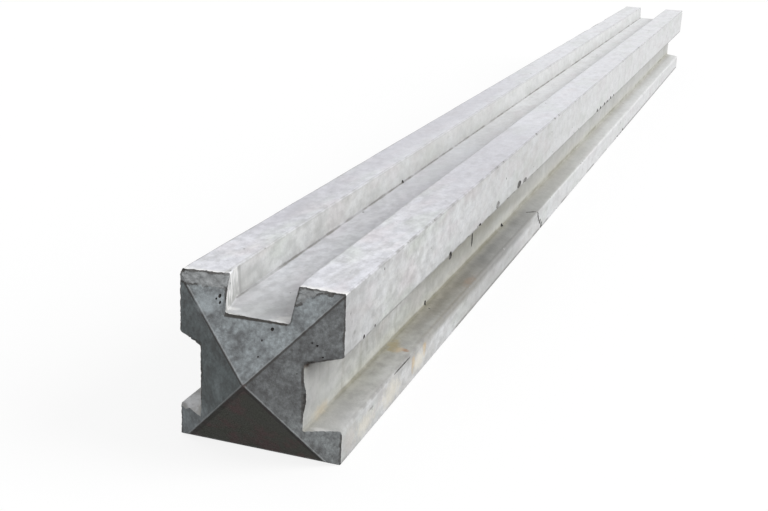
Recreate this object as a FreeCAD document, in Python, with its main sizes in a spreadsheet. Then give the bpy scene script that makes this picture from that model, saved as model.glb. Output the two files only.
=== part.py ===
"""Three-way slotted concrete fence post, cast in one piece and lying on its flat back.

Millimetres, +Z up. The post lies along Y with its weathered point at -Y and its foot at +Y.
X = 0 is the middle of its width, Y = 0 the middle of its length and Z = 0 the flat back.
"""
import FreeCAD, Part
import os
import re
import Sketcher

NODE = "post"
CLOSE = 1e-3

# Name, size in millimetres and what it measures
DIMENSIONS = [
    ("section_width", 125, "across the two side faces"),
    ("section_height", 128, "from the flat back to the face that carries the top slot"),
    ("overall_length", 2130, "from the tip of the point to the foot, a 7 ft post"),
    ("slot_mouth", 55, "slot width at the face"),
    ("slot_floor", 50, "side slot width at its floor, narrower so that the former draws out"),
    ("top_slot_floor", 52.5, "top slot width at its floor"),
    ("slot_depth", 23, "slot depth"),
    ("side_slot_rise", 54, "middle of the side slots above the flat back"),
    ("top_slot_shift", 2.5, "how far the top slot sits to the left of the middle"),
    ("head_band", 20, "length behind the point that the end of the mould shaped"),
    ("head_fill", 14, "how far the top slot's left wall leans in from there to the tip"),
    ("point_height", 41, "length of the weathered point"),
    ("point_shift", 5.5, "how far the tip sits to the right of the middle"),
    ("point_rise", 67, "tip above the flat back"),
    ("back_lead", 5, "how far the point's back facet starts ahead of the top and right ones"),
    ("left_lead", 2, "how far the point's left facet starts ahead of the top and right ones"),
    ("back_bevel", 5, "height of the bevel between the point's back facet and the flat back"),
    ("arris_radius", 1.2, "rounding of the long outer edges and the slot mouths"),
    ("root_radius", 1.5, "rounding where a slot's walls meet its floor"),
]

# Stations along the post
TIP = "-overall_length / 2"
RIM = f"{TIP} + point_height"
BAND_END = f"{RIM} + head_band"


def make_sheet(doc):
    """Keep the driving dimensions in a spreadsheet, one aliased cell each."""
    sheet = doc.addObject("Spreadsheet::Sheet", "dimensions")
    for row, (alias, size, meaning) in enumerate(DIMENSIONS, start=1):
        sheet.set(f"A{row}", meaning)
        sheet.set(f"B{row}", str(size))
        sheet.setAlias(f"B{row}", alias)
    doc.recompute()


def bound(formula):
    """Point every dimension named in a formula at its spreadsheet cell."""
    return re.sub(r"[a-z]\w+", r"dimensions.\g<0>", formula)


def measure(doc, formula):
    """Work out a formula in the dimensions as a plain number."""
    return float(doc.getObject("dimensions").evalExpression(bound(formula)))


def origin_plane(body, role):
    """Find one of the body's own origin planes."""
    return next(feature for feature in body.Origin.OriginFeatures if feature.Role == role)


def draw(body, name, role, corners, rise="0"):
    """Draw a closed outline on an origin plane, or at a rise along its normal.

    The outline's corners and its rise are formulas in the dimensions.
    """
    doc = body.Document
    sketch = body.newObject("Sketcher::SketchObject", name)
    sketch.AttachmentSupport = [(origin_plane(body, role), "")]
    sketch.MapMode = "FlatFace"
    sketch.setExpression("AttachmentOffset.Base.z", bound(rise))

    places = [FreeCAD.Vector(measure(doc, across), measure(doc, up), 0) for across, up in corners]
    count = len(places)
    for line in range(count):
        sketch.addGeometry(Part.LineSegment(places[line], places[(line + 1) % count]), False)
    for line in range(count):
        sketch.addConstraint(Sketcher.Constraint("Coincident", line, 2, (line + 1) % count, 1))
    for line, (across, up) in enumerate(corners):
        tie(sketch, "DistanceX", line, places[line].x, across)
        tie(sketch, "DistanceY", line, places[line].y, up)
    doc.recompute()
    return sketch


def tie(sketch, kind, line, size, formula):
    """Hold the start of a line at a distance from the sketch's origin that follows a formula."""
    constraint = sketch.addConstraint(Sketcher.Constraint(kind, -1, 1, line, 1, size))
    sketch.setExpression(f"Constraints[{constraint}]", bound(formula))


def cut(body, name, sketch):
    """Cut an outline right through the body, and stop if it took no material away."""
    before = body.Shape.Volume
    pocket = body.newObject("PartDesign::Pocket", name)
    pocket.Profile = sketch
    pocket.SideType = "Symmetric"
    pocket.Type = "ThroughAll"
    body.Document.recompute()
    taken = before - body.Shape.Volume
    if taken < 1:
        raise RuntimeError(f"{name} cut nothing")
    print(f"{name}: {taken / 1000:.1f} cubic centimetres away")
    return pocket


def make_block(body):
    """Pad the plain rectangular section to the post's full length."""
    corners = [
        ("-section_width / 2", "0"),
        ("section_width / 2", "0"),
        ("section_width / 2", "section_height"),
        ("-section_width / 2", "section_height"),
    ]
    section = draw(body, "section", "XZ_Plane", corners)
    block = body.newObject("PartDesign::Pad", "block")
    block.Profile = section
    block.SideType = "Symmetric"
    block.setExpression("Length", bound("overall_length"))
    body.Document.recompute()


def cut_side_slots(body):
    """Cut the right-hand panel slot and mirror it to the left face."""
    face = "section_width / 2"
    floor = "section_width / 2 - slot_depth"
    corners = [
        (face, "side_slot_rise - slot_mouth / 2"),
        (face, "side_slot_rise + slot_mouth / 2"),
        (floor, "side_slot_rise + slot_floor / 2"),
        (floor, "side_slot_rise - slot_floor / 2"),
    ]
    right = cut(body, "right_slot", draw(body, "side_slot_outline", "XZ_Plane", corners))
    left = body.newObject("PartDesign::Mirrored", "left_slot")
    left.Originals = [right]
    left.MirrorPlane = (origin_plane(body, "YZ_Plane"), [""])
    body.Tip = left
    body.Document.recompute()


def cut_top_slot(body):
    """Cut the third slot along the face opposite the flat back."""
    corners = [
        ("-top_slot_shift - slot_mouth / 2", "section_height"),
        ("-top_slot_shift + slot_mouth / 2", "section_height"),
        ("-top_slot_shift + top_slot_floor / 2", "section_height - slot_depth"),
        ("-top_slot_shift - top_slot_floor / 2", "section_height - slot_depth"),
    ]
    cut(body, "top_slot", draw(body, "top_slot_outline", "XZ_Plane", corners))


def fill_slot_head(body):
    """Lean the top slot's left wall in over the head band, where concrete crept past the former."""
    wall = "-top_slot_shift - slot_mouth / 2"
    inside = f"{wall} - head_fill"
    corners = [(wall, BAND_END), (inside, BAND_END), (inside, TIP), (f"{wall} + head_fill", TIP)]
    floor = "section_height - slot_depth"
    outline = draw(body, "head_fill_outline", "XY_Plane", corners, floor)
    fill = body.newObject("PartDesign::Pad", "head_fill")
    fill.Profile = outline
    fill.setExpression("Length", bound("slot_depth"))
    body.Document.recompute()


def round_long_edges(body, name, radius, wanted):
    """Round the edges that run the post's full length where wanted(place) says."""
    length = measure(body.Document, "overall_length")
    base = body.Tip
    chosen = []
    for number, edge in enumerate(base.Shape.Edges, start=1):
        if abs(edge.Length - length) < CLOSE and wanted(edge.CenterOfMass):
            chosen.append(f"Edge{number}")
    rounding = body.newObject("PartDesign::Fillet", name)
    rounding.Base = (base, chosen)
    rounding.setExpression("Radius", bound(radius))
    body.Document.recompute()
    print(f"{name}: {len(chosen)} edges")


def round_roots_and_arrises(body):
    """Round the slot roots, then the outer arrises and slot mouths."""
    half_width = measure(body.Document, "section_width / 2")
    height = measure(body.Document, "section_height")

    def on_outside(place):
        on_side = abs(abs(place.x) - half_width) < CLOSE
        return on_side or place.z < CLOSE or abs(place.z - height) < CLOSE

    def in_slot(place):
        return not on_outside(place)

    round_long_edges(body, "slot_roots", "root_radius", in_slot)
    round_long_edges(body, "arrises", "arris_radius", on_outside)


def cut_point(body):
    """Weather the head to a four-sided point: each facet slopes from the tip back to one face.

    The back facet ends in a small bevel, because it starts ahead of the others.
    """
    right = "section_width / 2"
    left = "-section_width / 2"
    top = "section_height"
    back_rim = f"{RIM} - back_lead"
    bevel = f"{back_rim} - (point_height - back_lead) * back_bevel / point_rise"
    facets = [
        ("top_facet", "YZ_Plane", [(TIP, "point_rise"), (RIM, top), (TIP, top)]),
        ("back_facet", "YZ_Plane", [(TIP, "point_rise"), (back_rim, "0"), (TIP, "0")]),
        ("right_facet", "XY_Plane", [("point_shift", TIP), (right, RIM), (right, TIP)]),
        ("left_facet", "XY_Plane", [("point_shift", TIP), (left, f"{RIM} - left_lead"), (left, TIP)]),
        ("back_bevel", "YZ_Plane", [(RIM, "0"), (bevel, "back_bevel"), (TIP, "0")]),
    ]
    for name, role, corners in facets:
        cut(body, name, draw(body, f"{name}_outline", role, corners))


def check(doc, body):
    """Stop if any object of the document failed or the post isn't one sound solid."""
    for item in doc.Objects:
        if "Invalid" in item.State or "Error" in item.State:
            raise RuntimeError(f"{item.Label} failed: {item.State}")
    shape = body.Shape
    if shape.isNull() or not shape.isValid() or len(shape.Solids) != 1:
        raise RuntimeError("the post isn't one sound solid")
    box = shape.BoundBox
    print(f"{shape.Volume / 1e6:.3f} litres in {box.XLength:.2f} x {box.YLength:.2f} x {box.ZLength:.2f} mm")


def main():
    doc = FreeCAD.newDocument("slotted_fence_post")
    make_sheet(doc)
    body = doc.addObject("PartDesign::Body", NODE)
    body.Label = NODE
    body.Placement = FreeCAD.Placement()

    make_block(body)
    cut_side_slots(body)
    cut_top_slot(body)
    round_roots_and_arrises(body)
    fill_slot_head(body)
    cut_point(body)

    doc.recompute()
    check(doc, body)
    os.makedirs("parts", exist_ok=True)
    body.Shape.exportStep(f"parts/{body.Label}.step")


main()
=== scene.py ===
"""Looks of the slotted concrete fence post: the casting with its wear, the floor, the light and the camera.

Metres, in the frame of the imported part. The post lies along Y, its point at -Y, on its back at Z = 0.
"""
import math

import bmesh
import bpy
from mathutils import Matrix, Vector


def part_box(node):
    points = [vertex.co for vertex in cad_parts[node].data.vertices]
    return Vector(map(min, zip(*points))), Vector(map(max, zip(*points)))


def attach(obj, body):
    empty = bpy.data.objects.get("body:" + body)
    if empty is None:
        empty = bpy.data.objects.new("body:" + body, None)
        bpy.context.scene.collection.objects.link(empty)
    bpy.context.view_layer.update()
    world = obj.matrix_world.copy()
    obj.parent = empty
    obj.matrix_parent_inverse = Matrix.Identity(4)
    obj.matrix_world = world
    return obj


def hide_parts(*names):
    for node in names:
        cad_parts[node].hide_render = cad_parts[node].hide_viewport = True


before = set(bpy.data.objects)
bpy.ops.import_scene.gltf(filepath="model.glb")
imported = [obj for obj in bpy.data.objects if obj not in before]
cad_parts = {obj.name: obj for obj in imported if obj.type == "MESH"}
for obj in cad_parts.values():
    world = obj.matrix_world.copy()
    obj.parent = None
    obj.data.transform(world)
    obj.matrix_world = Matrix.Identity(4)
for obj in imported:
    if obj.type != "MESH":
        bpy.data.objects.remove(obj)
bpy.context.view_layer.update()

MM = 0.001
NODE = "post"
SEED = 7

# Section and point, as in the part's source
LOW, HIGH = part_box(NODE)
HALF_WIDTH = HIGH.x
HEIGHT = HIGH.z
TIP = LOW.y
FOOT = HIGH.y
SLOT_MOUTH = 55 * MM
SLOT_FLOOR = 50 * MM
TOP_SLOT_FLOOR = 52.5 * MM
SLOT_DEPTH = 23 * MM
SIDE_SLOT_RISE = 54 * MM
TOP_SLOT_MIDDLE = -2.5 * MM
HEAD_BAND = 20 * MM
HEAD_FILL = 14 * MM
POINT_HEIGHT = 41 * MM
POINT_SHIFT = 5.5 * MM
POINT_RISE = 67 * MM
BACK_LEAD = 5 * MM
LEFT_LEAD = 2 * MM
BACK_BEVEL = 5 * MM
ARRIS_RADIUS = 1.2 * MM
ROOT_RADIUS = 1.5 * MM
LEDGE_ARRIS = 3 * MM

RIM = TIP + POINT_HEIGHT
BAND_END = RIM + HEAD_BAND
SLOT_BED = HALF_WIDTH - SLOT_DEPTH
TOP_SLOT_BED = HEIGHT - SLOT_DEPTH
MOUTH_LOW = SIDE_SLOT_RISE - SLOT_MOUTH / 2
MOUTH_HIGH = SIDE_SLOT_RISE + SLOT_MOUTH / 2
BED_LOW = SIDE_SLOT_RISE - SLOT_FLOOR / 2
BED_HIGH = SIDE_SLOT_RISE + SLOT_FLOOR / 2
TOP_MOUTH_LEFT = TOP_SLOT_MIDDLE - SLOT_MOUTH / 2
TOP_MOUTH_RIGHT = TOP_SLOT_MIDDLE + SLOT_MOUTH / 2
TOP_BED_LEFT = TOP_SLOT_MIDDLE - TOP_SLOT_FLOOR / 2
TOP_BED_RIGHT = TOP_SLOT_MIDDLE + TOP_SLOT_FLOOR / 2

# How far each facet of the point runs across the section for each metre back from the tip
FACET_RIGHT = (HALF_WIDTH - POINT_SHIFT) / POINT_HEIGHT
FACET_LEFT = (HALF_WIDTH + POINT_SHIFT) / (POINT_HEIGHT - LEFT_LEAD)
FACET_UP = (HEIGHT - POINT_RISE) / POINT_HEIGHT
FACET_DOWN = POINT_RISE / (POINT_HEIGHT - BACK_LEAD)


class Nodes:
    """Writes a node tree: each call adds a node, or a few, and gives back an output socket."""

    def __init__(self, tree):
        self.tree = tree

    def link(self, start, end):
        self.tree.links.new(start, end)

    def add(self, kind, inputs=None, output=0, **settings):
        node = self.tree.nodes.new(kind)
        for name, value in settings.items():
            setattr(node, name, value)
        for name, value in (inputs or {}).items():
            if isinstance(value, bpy.types.NodeSocket):
                self.link(value, node.inputs[name])
            else:
                node.inputs[name].default_value = value
        return node.outputs[output]

    def math(self, operation, first, second=0.0):
        return self.add("ShaderNodeMath", {0: first, 1: second}, operation=operation)

    def plus(self, first, second):
        return self.math("ADD", first, second)

    def minus(self, first, second):
        return self.math("SUBTRACT", first, second)

    def over(self, first, second):
        return self.math("DIVIDE", first, second)

    def most(self, first, second):
        return self.math("MAXIMUM", first, second)

    def least(self, first, second):
        return self.math("MINIMUM", first, second)

    def above(self, value, limit):
        return self.math("GREATER_THAN", value, limit)

    def below(self, value, limit):
        return self.math("LESS_THAN", value, limit)

    def times(self, first, *others):
        """The product of some values, which is the overlap of some masks."""
        for other in others:
            first = self.math("MULTIPLY", first, other)
        return first

    def rest(self, mask):
        """What a mask leaves over."""
        return self.minus(1.0, mask)

    def off(self, value, middle):
        """How far a value is from a middle, either way."""
        return self.math("ABSOLUTE", self.minus(value, middle))

    def vector(self, operation, first, second=(0, 0, 0), output=0):
        return self.add("ShaderNodeVectorMath", {0: first, 1: second}, output, operation=operation)

    def scaled(self, vector, scale):
        return self.add("ShaderNodeVectorMath", {0: vector, "Scale": scale}, operation="SCALE")

    def ramp(self, value, start, end, low=0.0, high=1.0, kind="SMOOTHSTEP"):
        """A step, smooth or linear, from low to high while value goes from start to end."""
        inputs = {"Value": value, "From Min": start, "From Max": end, "To Min": low, "To Max": high}
        return self.add("ShaderNodeMapRange", inputs, interpolation_type=kind)

    def blend(self, factor, first, second):
        """A number between two others."""
        return self.add("ShaderNodeMix", {0: factor, 2: first, 3: second}, data_type="FLOAT")

    def mix(self, factor, first, second, blend="MIX"):
        """One colour over another."""
        inputs = {0: factor, 6: first, 7: second}
        return self.add("ShaderNodeMix", inputs, 2, data_type="RGBA", blend_type=blend)

    def lay(self, colour, film, *masks):
        """A film over a colour, where some masks overlap."""
        return self.mix(self.times(*masks), colour, film)

    def noise(self, vector, size, detail=3.0, roughness=0.5, distortion=0.0, output="Fac"):
        """Noise whose lumps are about size across, which a socket may give."""
        scale = self.over(1.0, size) if isinstance(size, bpy.types.NodeSocket) else 1 / size
        inputs = {"Vector": vector, "Scale": scale, "Detail": detail, "Roughness": roughness}
        return self.add("ShaderNodeTexNoise", {**inputs, "Distortion": distortion}, output)

    def parts(self, vector):
        """The x, y and z of a vector."""
        return list(self.add("ShaderNodeSeparateXYZ", {0: vector}).node.outputs)

    def joined(self, x, y, z):
        return self.add("ShaderNodeCombineXYZ", {0: x, 1: y, 2: z})

    def read(self, name, kind):
        """A value that the points keep."""
        return self.add("GeometryNodeInputNamedAttribute", {"Name": name}, data_type=kind)

    def put(self, geometry, position):
        return self.add("GeometryNodeSetPosition", {"Geometry": geometry, "Position": position})

    def shift(self, geometry, offset):
        return self.add("GeometryNodeSetPosition", {"Geometry": geometry, "Offset": offset})


SOCKETS = {
    int: "NodeSocketInt",
    float: "NodeSocketFloat",
    tuple: "NodeSocketVector",
    bpy.types.Material: "NodeSocketMaterial",
}


def add_inputs(tree, sizes):
    """Give a tree a named input for each size."""
    for label, value in sizes.items():
        socket = tree.interface.new_socket(label, in_out="INPUT", socket_type=SOCKETS[type(value)])
        socket.default_value = value


def new_geometry_tree(name, sizes):
    """An empty geometry tree with a named input for each size, and its nodes and given sockets."""
    tree = bpy.data.node_groups.new(name, "GeometryNodeTree")
    tree.interface.new_socket("Geometry", in_out="INPUT", socket_type="NodeSocketGeometry")
    add_inputs(tree, sizes)
    tree.interface.new_socket("Geometry", in_out="OUTPUT", socket_type="NodeSocketGeometry")
    return Nodes(tree), tree.nodes.new("NodeGroupInput").outputs


def end_geometry_tree(nodes, geometry, material):
    """Realize what a tree made, give it its finish and put it out."""
    real = nodes.add("GeometryNodeRealizeInstances", {"Geometry": geometry})
    done = nodes.add("GeometryNodeSetMaterial", {"Geometry": real, "Material": material})
    out = nodes.tree.nodes.new("NodeGroupOutput")
    nodes.link(done, out.inputs["Geometry"])
    return nodes.tree


def new_piece(name, points, edges=(), faces=()):
    """A mesh object from plain lists of points, edges and faces."""
    mesh = bpy.data.meshes.new(name)
    mesh.from_pydata([tuple(point) for point in points], list(edges), list(faces))
    piece = bpy.data.objects.new(name, mesh)
    bpy.context.scene.collection.objects.link(piece)
    return piece


def store(piece, name, kind, field, values):
    """Keep one value for each point of a piece, for its geometry tree to read."""
    attribute = piece.data.attributes.new(name, kind, "POINT")
    attribute.data.foreach_set(field, values)


def settle(piece):
    """Turn what a piece's modifiers make into its own plain mesh."""
    graph = bpy.context.evaluated_depsgraph_get()
    made = bpy.data.meshes.new_from_object(piece.evaluated_get(graph))
    piece.modifiers.clear()
    piece.data = made


def grow(piece, tree):
    """Run a geometry tree on a piece and keep the result."""
    modifier = piece.modifiers.new(tree.name, "NODES")
    modifier.node_group = tree
    settle(piece)


def carve(piece, cutter):
    """Take a closed cutter's space away from a piece, with the cutter's finish on the new faces."""
    modifier = piece.modifiers.new(cutter.name, "BOOLEAN")
    modifier.operation = "DIFFERENCE"
    modifier.solver = "MANIFOLD"
    modifier.object = cutter
    modifier.material_mode = "TRANSFER"
    settle(piece)
    bpy.data.objects.remove(cutter)


# Materials

def new_group(name, inputs, outputs):
    """An empty shader group with named inputs and outputs, and its nodes, given sockets and ends."""
    tree = bpy.data.node_groups.new(name, "ShaderNodeTree")
    add_inputs(tree, inputs)
    for label in outputs:
        tree.interface.new_socket(label, in_out="OUTPUT", socket_type="NodeSocketFloat")
    return Nodes(tree), tree.nodes.new("NodeGroupInput").outputs, tree.nodes.new("NodeGroupOutput").inputs


def make_cement_clouds():
    """Soft clouds and smaller blotches of light and dark cement paste, from 0 to 1."""
    inputs = {"Vector": (0.0, 0.0, 0.0), "Cloud Size": 60 * MM, "Blotch Size": 9 * MM, "Blotch Share": 0.4}
    nodes, given, ends = new_group("cement_clouds", inputs, ["Tone"])
    cloud = nodes.noise(given["Vector"], given["Cloud Size"], 3.0, distortion=0.6)
    blotch = nodes.noise(given["Vector"], given["Blotch Size"], 4.0, 0.6)
    both = nodes.blend(given["Blotch Share"], cloud, blotch)
    nodes.link(nodes.ramp(both, 0.3, 0.7), ends["Tone"])
    return nodes.tree


def make_sand_grain():
    """Fine sand in the paste: a speckle and the height that it stands to."""
    inputs = {"Vector": (0.0, 0.0, 0.0), "Grain Size": 1.2 * MM}
    nodes, given, ends = new_group("sand_grain", inputs, ["Speckle", "Height"])
    grain = nodes.noise(given["Vector"], given["Grain Size"], 3.0, 0.65)
    nodes.link(nodes.ramp(grain, 0.35, 0.65), ends["Speckle"])
    nodes.link(grain, ends["Height"])
    return nodes.tree


def make_pinholes():
    """Pinholes that air left against the mould: 1 in a hole, 0 around it."""
    inputs = {"Vector": (0.0, 0.0, 0.0), "Spacing": 14 * MM, "Share": 0.3}
    nodes, given, ends = new_group("pinholes", inputs, ["Hole"])
    inputs = {"Vector": given["Vector"], "Scale": nodes.over(1.0, given["Spacing"])}
    cells = nodes.add("ShaderNodeTexVoronoi", inputs).node.outputs
    dice = nodes.parts(cells["Color"])
    radius = nodes.times(dice[1], dice[1], 0.09)
    hole = nodes.ramp(nodes.minus(radius, cells["Distance"]), -0.02, 0.02)
    kept = nodes.below(dice[0], given["Share"])
    nodes.link(nodes.times(hole, kept), ends["Hole"])
    return nodes.tree


def make_line_distance():
    """Distance across the section from a line that runs along the post."""
    inputs = {"Vector": (0.0, 0.0, 0.0), "Across": 0.0, "Rise": 0.0}
    nodes, given, ends = new_group("line_distance", inputs, ["Distance"])
    x, _, z = nodes.parts(given["Vector"])
    place = nodes.joined(x, 0.0, z)
    line = nodes.joined(given["Across"], 0.0, given["Rise"])
    nodes.link(nodes.vector("DISTANCE", place, line, "Value"), ends["Distance"])
    return nodes.tree


def make_stain():
    """A ragged stain about a centre: 1 in its middle, 0 past its reach along each axis."""
    inputs = {"Vector": (0.0, 0.0, 0.0), "Centre": (0.0, 0.0, 0.0), "Reach": (0.01, 0.01, 0.01)}
    nodes, given, ends = new_group("stain", inputs, ["Mask"])
    away = nodes.vector("SUBTRACT", given["Vector"], given["Centre"])
    share = nodes.vector("LENGTH", nodes.vector("DIVIDE", away, given["Reach"]), output="Value")
    ragged = nodes.times(nodes.noise(given["Vector"], 5 * MM, 4.0, 0.65), 1.3)
    nodes.link(nodes.ramp(nodes.plus(share, ragged), 1.45, 0.75), ends["Mask"])
    return nodes.tree


GROUPS = {}


def use(nodes, name, inputs, output=0):
    """Place one of the shared shader groups in a material."""
    return nodes.add("ShaderNodeGroup", inputs, output, node_tree=GROUPS[name])


SHEEN = 0.3


def new_material(name):
    """A material with one Principled shader, and its nodes, shader inputs and object coordinates."""
    material = bpy.data.materials.new(name)
    material.use_nodes = True
    nodes = Nodes(material.node_tree)
    shader = material.node_tree.nodes["Principled BSDF"].inputs
    shader["Specular IOR Level"].default_value = SHEEN
    place = nodes.add("ShaderNodeTexCoord", output="Object")
    return material, nodes, shader, place


def finish_material(nodes, shader, colour, roughness, height, depth):
    """Join the colour, the roughness and a height map of a given depth to the shader."""
    nodes.link(colour, shader["Base Color"])
    nodes.link(roughness, shader["Roughness"])
    inputs = {"Height": height, "Distance": depth, "Strength": 1.0}
    nodes.link(nodes.add("ShaderNodeBump", inputs), shader["Normal"])


def grey(level, red=0.0, green=0.0, blue=0.0):
    """A grey of a given lightness, leaning to a hue."""
    return (level + red, level + green, level + blue, 1.0)


PALE_COOL = grey(0.73, -0.014, 0.0, 0.016)
PALE_WARM = grey(0.56, 0.006, 0.002, -0.010)
PALE_TOP = grey(0.75, -0.012, -0.004, 0.07)
PALE_FAR = grey(0.82, -0.006, 0.0, 0.008)
LIME_BLOOM = grey(0.84, -0.012, 0.0, 0.02)
LAVENDER_FILM = grey(0.52, -0.002, -0.008, 0.036)
# A grey for mottle, streaks and sand, and also for painted shade by the head, on the top slot's mouths and
# over the drip edges
MOTTLE_AND_SHADE_GREY = grey(0.40, 0.0, 0.0, -0.004)
GREEN_CAST = grey(0.60, -0.03, 0.018, -0.040)
ROSE_CAST = grey(0.62, 0.035, -0.020, 0.0)
LEDGE_FILM = grey(0.31, 0.010, 0.006, -0.020)
LEDGE_BROWN = grey(0.215, 0.018, 0.005, -0.028)
LEDGE_GREY = grey(0.225, 0.0, 0.0, -0.008)
# Film on the side slots' beds, darkening upwards into painted shade under the flanges
BED_FILM_AND_SHADE = grey(0.35, 0.010, 0.008, -0.024)
# Dirt streaks on the side slots' beds, and the painted shade right under their flanges
BED_DIRT_AND_SHADE = grey(0.25, 0.016, 0.008, -0.034)
# Film on the top slot's walls, and painted shade towards their feet and at the foot of the strip behind the
# point
TOP_FILM_AND_SHADE = grey(0.38, 0.0, 0.004, -0.012)
TOP_BED_TINT = grey(0.62, -0.014, 0.0, 0.05)
ROOT_OLIVE = grey(0.20, 0.018, 0.010, -0.044)
# Grey dirt and painted shade along the top slot's roots
ROOT_GREY_AND_SHADE = grey(0.20, 0.010, 0.004, -0.012)
ROOT_YELLOW = grey(0.50, 0.03, 0.012, -0.066)
# Grime for edges and marks, also used for painted shade: in the crease behind the point's strip, along the
# drip edges and on the outer top edges
EDGE_GRIME_AND_SHADE = grey(0.27, 0.004, 0.0, -0.008)
RIM_WHITE = grey(0.88, 0.008, 0.004, -0.008)
# Painted shade in the pinholes
HOLE_SHADE = grey(0.12, 0.0, 0.0, -0.01)
RUST = (0.33, 0.20, 0.12, 1.0)
ROOT_BROWN = (0.085, 0.055, 0.04, 1.0)
RUST_TAN = (0.54, 0.42, 0.27, 1.0)
ROOT_TAN = (0.52, 0.44, 0.31, 1.0)
DAMP_OLIVE = (0.33, 0.28, 0.16, 1.0)
LIME_CREAM = (0.76, 0.72, 0.62, 1.0)

# Stains, and one patch of painted light: middle and reach in millimetres, colour, and the share of it
STAINS = [
    ((56, -866, 27), (5, 7, 3), RUST, 0.85),
    ((52, -868, 28), (7, 11, 3), RUST_TAN, 0.6),
    ((45, -862, 28.5), (9, 26, 4), DAMP_OLIVE, 0.75),
    ((57, -672, 27), (8, 30, 3), RUST, 0.3),
    # Brown dirt and painted shade in the hollow at the right slot's upper root
    ((40, -1032, 77.5), (9, 17, 5.5), ROOT_BROWN, 0.95),
    ((39.5, -1008, 32), (6, 24, 8), ROOT_TAN, 0.5),
    ((52, -1031, 28), (15, 8, 4), RIM_WHITE, 0.28),
    ((-54, -1025, 27), (18, 24, 5), LIME_BLOOM, 0.8),
    ((62.5, -862, 15), (3, 9, 12), RUST_TAN, 0.9),
    ((62.5, -831, 18), (3, 9, 11), RUST_TAN, 0.9),
    ((62.5, -975, 11), (3, 36, 13), LIME_CREAM, 0.55),
    ((62.5, -846, 12), (3, 30, 14), LIME_CREAM, 0.65),
    ((62.5, -918, 12), (3, 40, 18), LIME_CREAM, 0.6),
    ((62.5, -1008, 14), (3, 30, 18), RUST_TAN, 0.14),
    ((62.5, -962, 18.5), (3, 10, 2.2), EDGE_GRIME_AND_SHADE, 0.8),
    ((62.5, -928, 25), (3, 4, 2.5), EDGE_GRIME_AND_SHADE, 0.5),
    ((62.5, 55, 82), (3, 130, 5), EDGE_GRIME_AND_SHADE, 0.6),
    ((-62, 640, 128), (4, 260, 4), EDGE_GRIME_AND_SHADE, 0.9),
    ((62.5, -1005.5, 94), (3, 4, 3), EDGE_GRIME_AND_SHADE, 0.6),
    ((62.5, -1014, 111), (3, 3, 3), EDGE_GRIME_AND_SHADE, 0.5),
    ((62.5, -1011, 104), (3, 2.5, 3), EDGE_GRIME_AND_SHADE, 0.35),
    ((-54, -850, 128), (15, 120, 5), LAVENDER_FILM, 0.5),
    ((-20.5, -1028, 106), (9, 8, 4), RIM_WHITE, 0.55),
    # Painted light on the top slot's bed by the head, against the shade of the right flange
    ((20, -1034, 106), (12, 20, 5), RIM_WHITE, 0.7),
]


def make_fair_face():
    """The long faces: pale cast concrete, mottled and streaked, dirty in the slots and stained."""
    material, nodes, shader, place = new_material("fair_face_concrete")
    _, y, z = nodes.parts(place)
    drawn = nodes.vector("MULTIPLY", place, (1.0, 0.35, 1.0))
    clouds = use(nodes, "cement_clouds", {"Vector": drawn, "Cloud Size": 48 * MM, "Blotch Share": 0.5})
    colour = nodes.mix(clouds, PALE_WARM, PALE_COOL)
    on_top = nodes.ramp(z, HEIGHT - 1.2 * MM, HEIGHT - 0.6 * MM)
    colour = nodes.lay(colour, PALE_TOP, on_top, 0.6)
    colour = nodes.lay(colour, PALE_FAR, nodes.ramp(y, RIM, FOOT, 0.0, 0.6))
    sides_far = nodes.times(nodes.ramp(y, -0.5, 0.0), nodes.rest(on_top))
    colour = nodes.lay(colour, PALE_FAR, sides_far, 0.6)
    colour = lay_mottle(nodes, colour, drawn, nodes.ramp(y, -0.95, -0.4, 1.0, 0.5))
    facing = nodes.add("ShaderNodeTexCoord", output="Normal")
    upright = nodes.ramp(nodes.math("ABSOLUTE", nodes.parts(facing)[2]), 0.7, 0.3)
    colour = lay_strokes(nodes, colour, place, upright, on_top)

    colour = lay_slot_dirt(nodes, colour, place)
    colour = lay_dapple(nodes, colour, place, nodes.ramp(y, -0.95, -0.5, 1.0, 0.35))
    colour = lay_edge_grime(nodes, colour, place)
    colour, line = lay_head_band(nodes, colour, place, on_top)
    colour = lay_stains(nodes, colour, place, STAINS)
    holes = use(nodes, "pinholes", {"Vector": place, "Spacing": 15 * MM, "Share": 0.4})
    # Pinholes filled with painted shade
    colour = nodes.lay(colour, HOLE_SHADE, holes)

    grain = use(nodes, "sand_grain", {"Vector": place}, "Height")
    dips = nodes.noise(place, 7 * MM, 3.0)
    height = nodes.plus(nodes.times(grain, 0.4), nodes.times(dips, 1.2))
    height = nodes.minus(height, nodes.times(holes, 1.5))
    height = nodes.minus(height, nodes.times(line, 0.6))
    roughness = nodes.ramp(clouds, 0.0, 1.0, 0.82, 0.92)
    finish_material(nodes, shader, colour, roughness, height, 0.35 * MM)
    return material


# Stretches along the post: the middle, and how far from it the dirt and the painted shade end and have their
# full strength
RIGHT_FLANGE_FILM = (-0.6, 0.34, 0.06)
DAMP = (-0.6, 0.36, 0.08)
DARKEST_BED = (-0.64, 0.26, 0.06)
LEDGE_RUN_ON = (-0.31, 0.17, 0.08)
LEDGE_SPILL = (-0.65, 0.34, 0.12)
SPILL_RUN = (-0.6, 0.17, 0.08)
TOP_BED_FILM = (-0.72, 0.3, 0.08)
OVER_DRIP_EDGE = (-0.7, 0.3, 0.1)
BACK_EDGE_DIRT = (-0.54, 0.14, 0.09)

# The band of painted shade in the side slots: where along the post it is level, and how it rises towards the
# head
BAND_LEVEL_AT = -0.61
BAND_TILT = 0.045


def along(nodes, y, stretch, low=0.0, high=1.0):
    """From low to high, from the ends of a stretch of the post to its middle."""
    middle, end, full = stretch
    return nodes.ramp(nodes.off(y, middle), end, full, low, high)


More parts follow.
